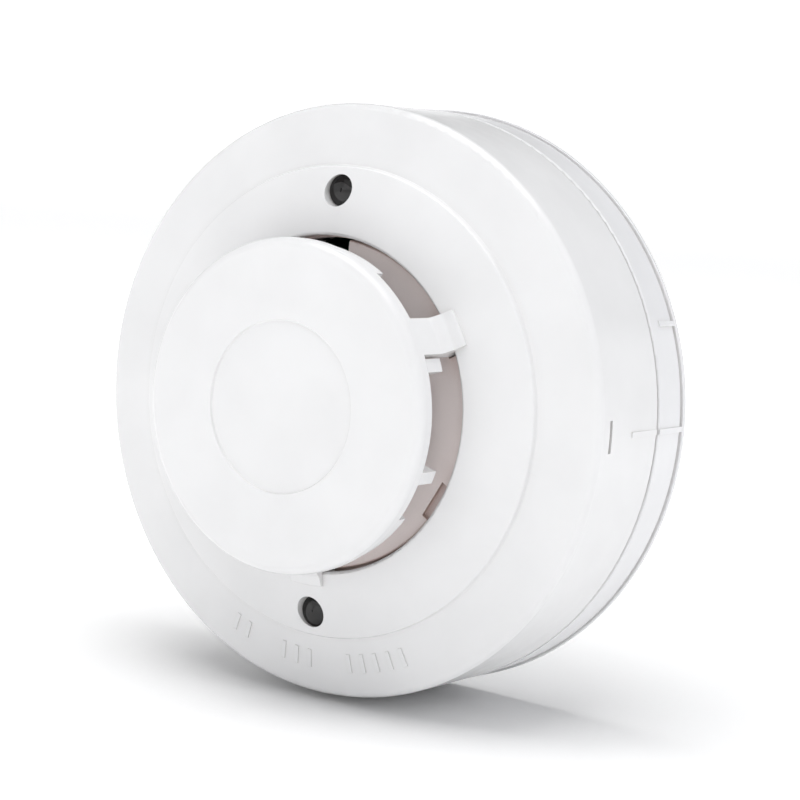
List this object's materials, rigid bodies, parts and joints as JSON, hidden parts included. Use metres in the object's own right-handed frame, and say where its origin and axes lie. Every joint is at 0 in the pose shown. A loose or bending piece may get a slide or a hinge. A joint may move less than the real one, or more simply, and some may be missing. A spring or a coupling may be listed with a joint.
{
  "type": "heat detector",
  "caption": "Round plug-in heat detector: domed head with a vented sensor cap on three legs and two indicator windows, twisted onto a flat base with screw terminals.",
  "frame": {"origin": "centre of the fixing slots in the plane of the mounting face", "axes": "+Y out of the mounting face into the wall or ceiling, so the sensing face looks to -Y; +Z towards the 12 o'clock indicator; +X towards the index marks"},
  "size_m": [0.1018, 0.0448, 0.1018],
  "materials": {
    "white_shell": "polished white ABS",
    "base_shell": "satin white ABS",
    "chassis_plastic": "matt white ABS",
    "chamber_plastic": "satin warm off-white ABS",
    "tinted_lens": "dark tinted acrylic",
    "clear_epoxy": "tinted clear epoxy",
    "contact_metal": "nickel-flashed brass",
    "screw_steel": "zinc-plated steel",
    "tinned_wire": "tinned copper",
    "board_laminate": "green solder resist on glass laminate",
    "black_epoxy": "moulded black epoxy",
    "capacitor_sleeve": "shrink sleeve",
    "varistor_coat": "blue epoxy coat",
    "resistor_coat": "tan lacquer",
    "ceramic": "fired ceramic",
    "bead_glass": "glass-coated bead",
    "foam": "closed-cell foam"
  },
  "bodies": {
    "base": {"base_plate": "base_shell", "terminal_nuts": "screw_steel", "terminal_plate_1": "contact_metal", "terminal_plate_2": "contact_metal", "terminal_plate_3": "contact_metal", "terminal_plate_4": "contact_metal"},
    "head": {"head_chassis": "chassis_plastic", "contact_rivets": "contact_metal", "circuit_board": "board_laminate", "board_screws": "screw_steel", "microcontroller": "black_epoxy", "electrolytic_capacitor": "capacitor_sleeve", "polarity_bridge": "black_epoxy", "surge_suppressor": "varistor_coat", "transistors": "black_epoxy", "resistors": "resistor_coat", "ceramic_capacitors": "ceramic", "reference_thermistor": "bead_glass", "sensor_chamber": "chamber_plastic", "chamber_seal": "foam", "thermistor_holder": "chassis_plastic", "thermistor_leads": "tinned_wire", "thermistor_bead": "bead_glass", "head_cover": "white_shell", "sensor_cap": "white_shell", "contact_blade_1": "contact_metal", "contact_blade_2": "contact_metal", "contact_blade_3": "contact_metal", "contact_blade_4": "contact_metal", "indicator_led_top": "clear_epoxy", "led_leads_top": "tinned_wire", "led_spacer_top": "chassis_plastic", "led_window_top": "tinted_lens", "indicator_led_bottom": "clear_epoxy", "led_leads_bottom": "tinned_wire", "led_spacer_bottom": "chassis_plastic", "led_window_bottom": "tinted_lens"},
    "clamp_1": {"clamp_plate_1": "screw_steel"},
    "screw_1": {"terminal_screw_1": "screw_steel"},
    "clamp_2": {"clamp_plate_2": "screw_steel"},
    "screw_2": {"terminal_screw_2": "screw_steel"},
    "clamp_3": {"clamp_plate_3": "screw_steel"},
    "screw_3": {"terminal_screw_3": "screw_steel"},
    "clamp_4": {"clamp_plate_4": "screw_steel"},
    "screw_4": {"terminal_screw_4": "screw_steel"}
  },
  "joints": [
    {"name": "head_twist", "type": "hinge", "parent": "base", "child": "head", "pos_m": [0, 0, 0], "axis": [0, -1, 0], "range_deg": [0, 20]},
    {"name": "clamp_lift_1", "type": "slide", "parent": "base", "child": "clamp_1", "axis": [0, -1, 0], "range_m": [0, 0.0015]},
    {"name": "screw_turn_1", "type": "hinge", "parent": "clamp_1", "child": "screw_1", "pos_m": [0.0317, 0, 0.0139], "axis": [0, -1, 0], "range_deg": [0, 1080]},
    {"name": "clamp_lift_2", "type": "slide", "parent": "base", "child": "clamp_2", "axis": [0, -1, 0], "range_m": [0, 0.0015]},
    {"name": "screw_turn_2", "type": "hinge", "parent": "clamp_2", "child": "screw_2", "pos_m": [-0.0139, 0, 0.0317], "axis": [0, -1, 0], "range_deg": [0, 1080]},
    {"name": "clamp_lift_3", "type": "slide", "parent": "base", "child": "clamp_3", "axis": [0, -1, 0], "range_m": [0, 0.0015]},
    {"name": "screw_turn_3", "type": "hinge", "parent": "clamp_3", "child": "screw_3", "pos_m": [-0.0317, 0, -0.0139], "axis": [0, -1, 0], "range_deg": [0, 1080]},
    {"name": "clamp_lift_4", "type": "slide", "parent": "base", "child": "clamp_4", "axis": [0, -1, 0], "range_m": [0, 0.0015]},
    {"name": "screw_turn_4", "type": "hinge", "parent": "clamp_4", "child": "screw_4", "pos_m": [0.0139, 0, -0.0317], "axis": [0, -1, 0], "range_deg": [0, 1080]}
  ],
  "couplings": [
    {"joint": "screw_turn_1", "follows": "clamp_lift_1", "rad_per_m": 12566},
    {"joint": "screw_turn_2", "follows": "clamp_lift_2", "rad_per_m": 12566},
    {"joint": "screw_turn_3", "follows": "clamp_lift_3", "rad_per_m": 12566},
    {"joint": "screw_turn_4", "follows": "clamp_lift_4", "rad_per_m": 12566}
  ]
}
